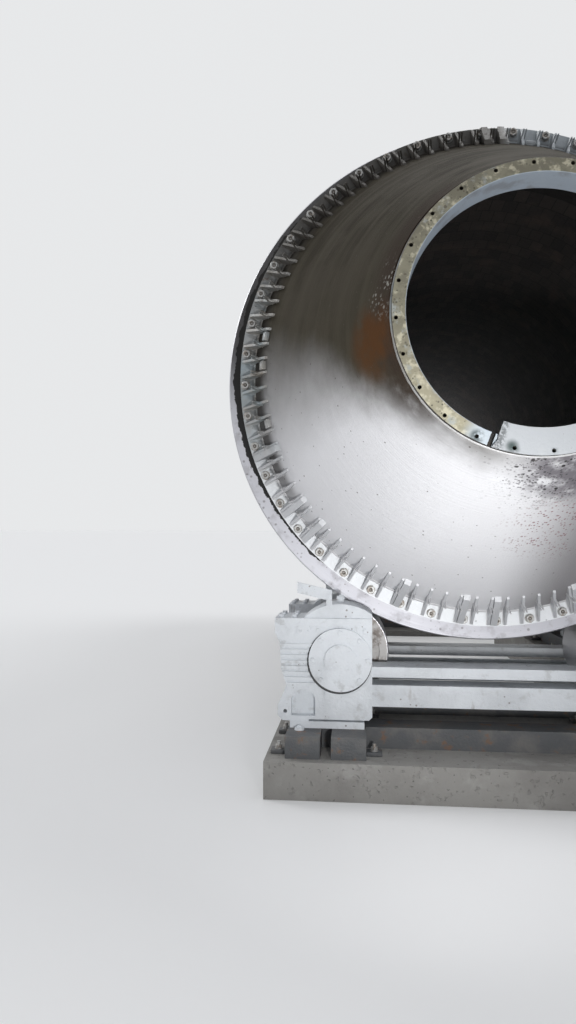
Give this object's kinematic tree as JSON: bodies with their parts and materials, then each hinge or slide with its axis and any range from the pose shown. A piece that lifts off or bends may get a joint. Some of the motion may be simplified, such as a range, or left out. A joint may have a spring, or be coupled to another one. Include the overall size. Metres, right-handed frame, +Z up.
{
  "type": "rotary kiln",
  "caption": "Short rotary kiln: a sloping lined drum with a gusseted feed cone and bored neck, turning on riding rings and support rollers, driven by a girth gear.",
  "frame": {"origin": "On the ground, at the centre of the underside of the feed pier, straight below the middle of the feed riding ring", "axes": "+Y runs level along the drum from the feed end to the discharge end, +X is to the right seen from the feed end, +Z is up. The drum axis falls towards +Y by 2.5 in 100."},
  "size_m": [4.816, 10.6035, 5.0021],
  "materials": {
    "cone_steel": "dull worn mill scale with rust",
    "pale_steel": "dusty machined and primed steel",
    "bright_steel": "machined running surface",
    "shell_steel": "grey heat-resistant paint",
    "white_paint": "dusty white paint over castings",
    "bed_grey": "dark grey paint",
    "concrete": "cast concrete",
    "brick": "fired refractory brick",
    "drive_paint": "machine paint"
  },
  "bodies": {
    "frame": {"feed_left_housings": "white_paint", "feed_right_housings": "white_paint", "feed_housing_lids": "white_paint", "feed_end_covers": "white_paint", "tie_beams": "white_paint", "feed_bed_frame": "bed_grey", "feed_pier": "concrete", "guard_strip": "white_paint", "discharge_left_housings": "white_paint", "discharge_right_housings": "white_paint", "discharge_housing_lids": "white_paint", "discharge_end_covers": "white_paint", "discharge_bed_frame": "bed_grey", "discharge_pier": "concrete", "thrust_bracket": "white_paint", "pinion_bearings": "white_paint", "gear_reducer": "drive_paint", "drive_motor": "drive_paint", "coupling_guard": "white_paint", "drive_bed_frame": "bed_grey", "drive_pier": "concrete"},
    "drum": {"feed_neck": "pale_steel", "neck_liner_segment": "bright_steel", "feed_cone": "cone_steel", "head_flange": "pale_steel", "flange_gussets": "pale_steel", "bay_bars": "pale_steel", "shell_flange": "pale_steel", "feed_course": "shell_steel", "middle_course": "shell_steel", "discharge_course": "shell_steel", "feed_ring_pads": "shell_steel", "feed_riding_ring": "bright_steel", "discharge_ring_pads": "shell_steel", "discharge_riding_ring": "bright_steel", "girth_gear": "shell_steel", "gear_spring_plates": "shell_steel", "nose_ring": "cone_steel", "brick_lining": "brick"},
    "feed_left_roller": {"feed_left_roller": "bright_steel"},
    "feed_right_roller": {"feed_right_roller": "bright_steel"},
    "discharge_left_roller": {"discharge_left_roller": "bright_steel"},
    "discharge_right_roller": {"discharge_right_roller": "bright_steel"},
    "thrust_roller": {"thrust_roller": "bright_steel"},
    "pinion": {"pinion": "bright_steel"}
  },
  "joints": [
    {"name": "drum_spin", "type": "hinge", "parent": "frame", "child": "drum", "pos_m": [0, 0, 2.94003], "axis": [0, 0.9997, -0.025], "continuous": true},
    {"name": "feed_left_roller_spin", "type": "hinge", "parent": "frame", "child": "feed_left_roller", "pos_m": [-1.07832, -0.05177, 0.86925], "axis": [0, 0.9997, -0.025], "continuous": true},
    {"name": "feed_right_roller_spin", "type": "hinge", "parent": "frame", "child": "feed_right_roller", "pos_m": [1.07832, -0.05177, 0.86925], "axis": [0, 0.9997, -0.025], "continuous": true},
    {"name": "discharge_left_roller_spin", "type": "hinge", "parent": "frame", "child": "discharge_left_roller", "pos_m": [-1.07832, 6.94604, 0.6943], "axis": [0, 0.9997, -0.025], "continuous": true},
    {"name": "discharge_right_roller_spin", "type": "hinge", "parent": "frame", "child": "discharge_right_roller", "pos_m": [1.07832, 6.94604, 0.6943], "axis": [0, 0.9997, -0.025], "continuous": true},
    {"name": "thrust_roller_spin", "type": "hinge", "parent": "frame", "child": "thrust_roller", "pos_m": [0, 7.24803, 2.75883], "axis": [0, 0.1317, -0.9913], "continuous": true},
    {"name": "pinion_spin", "type": "hinge", "parent": "frame", "child": "pinion", "pos_m": [1.56197, 2.55267, 1.01415], "axis": [0, 0.9997, -0.025], "continuous": true}
  ],
  "couplings": [
    {"joint": "feed_left_roller_spin", "follows": "drum_spin", "ratio": -5.4861},
    {"joint": "feed_right_roller_spin", "follows": "drum_spin", "ratio": -5.4861},
    {"joint": "discharge_left_roller_spin", "follows": "drum_spin", "ratio": -5.4861},
    {"joint": "discharge_right_roller_spin", "follows": "drum_spin", "ratio": -5.4861},
    {"joint": "thrust_roller_spin", "follows": "drum_spin", "ratio": 6.3925},
    {"joint": "pinion_spin", "follows": "drum_spin", "ratio": -6.1053}
  ]
}
